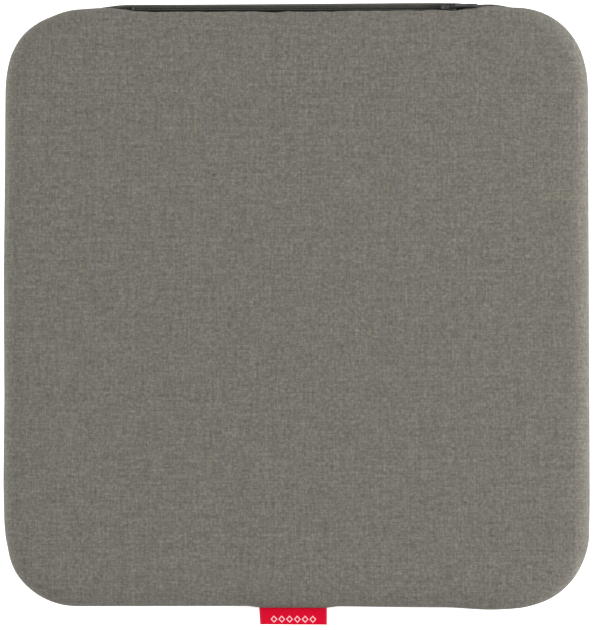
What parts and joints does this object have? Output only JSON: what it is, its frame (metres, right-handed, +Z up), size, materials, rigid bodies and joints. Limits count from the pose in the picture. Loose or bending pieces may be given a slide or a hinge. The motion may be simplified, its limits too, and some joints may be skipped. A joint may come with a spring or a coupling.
{
  "type": "heat press mat",
  "caption": "Square padded mat with rounded corners, in a zipped fabric cover over felt, foil and sponge, with a small folded ribbon tag.",
  "frame": {"origin": "centre of the flat underside", "axes": "+Z up to the work face, +Y to the zip at the back edge, -Y to the ribbon tag at the front"},
  "size_m": [0.305, 0.3244, 0.014],
  "materials": {
    "top_cloth": "heathered linen-look weave, matt",
    "base_cloth": "plain charcoal weave, matt",
    "thread": "spun polyester thread",
    "tag_ribbon": "red satin ribbon",
    "zip_textile": "herringbone polyester tape",
    "zip_coil": "polyester monofilament coil",
    "zip_metal": "black enamelled zinc, semi-gloss",
    "felt": "needled felt, fuzzy",
    "foil": "bright foil film",
    "foam": "closed-cell silicone sponge, matt",
    "scrim": "thin spunbonded scrim"
  },
  "bodies": {
    "cover": {"top_panel": "top_cloth", "bottom_panel": "base_cloth", "seam_thread": "thread", "tag_stitches": "thread", "zip_tape_upper": "zip_textile", "zip_tape_lower": "zip_textile", "zip_coil_upper": "zip_coil", "zip_coil_lower": "zip_coil", "zip_stitches_upper": "thread", "zip_stitches_lower": "thread", "zip_end_tacks": "thread", "zip_top_stops": "zip_metal", "zip_bottom_stop": "zip_metal", "upper_felt": "felt", "heat_foil": "foil", "foam_core": "foam", "lower_felt": "felt", "base_scrim": "scrim"},
    "slider": {"zip_slider": "zip_metal"},
    "pull_tab": {"zip_pull_tab": "zip_metal"},
    "tag": {"side_tag": "tag_ribbon"}
  },
  "joints": [
    {"name": "slider_slide", "type": "slide", "parent": "cover", "child": "slider", "axis": [1, 0, 0], "range_m": [-0.159, 0], "deforming": ["zip_coil_upper", "zip_coil_lower"]},
    {"name": "pull_tab_hinge", "type": "hinge", "parent": "slider", "child": "pull_tab", "pos_m": [0.08005, 0.15685, 0.0081], "axis": [0, -0.4695, 0.8829], "range_deg": [0, 175]},
    {"name": "tag_flex", "type": "hinge", "parent": "cover", "child": "tag", "pos_m": [-0.0017, -0.156, 0.0065], "axis": [-1, 0, 0], "range_deg": [-30, 75], "stiffness_Nm_per_rad": 0.0002, "deforming": ["side_tag"]}
  ]
}
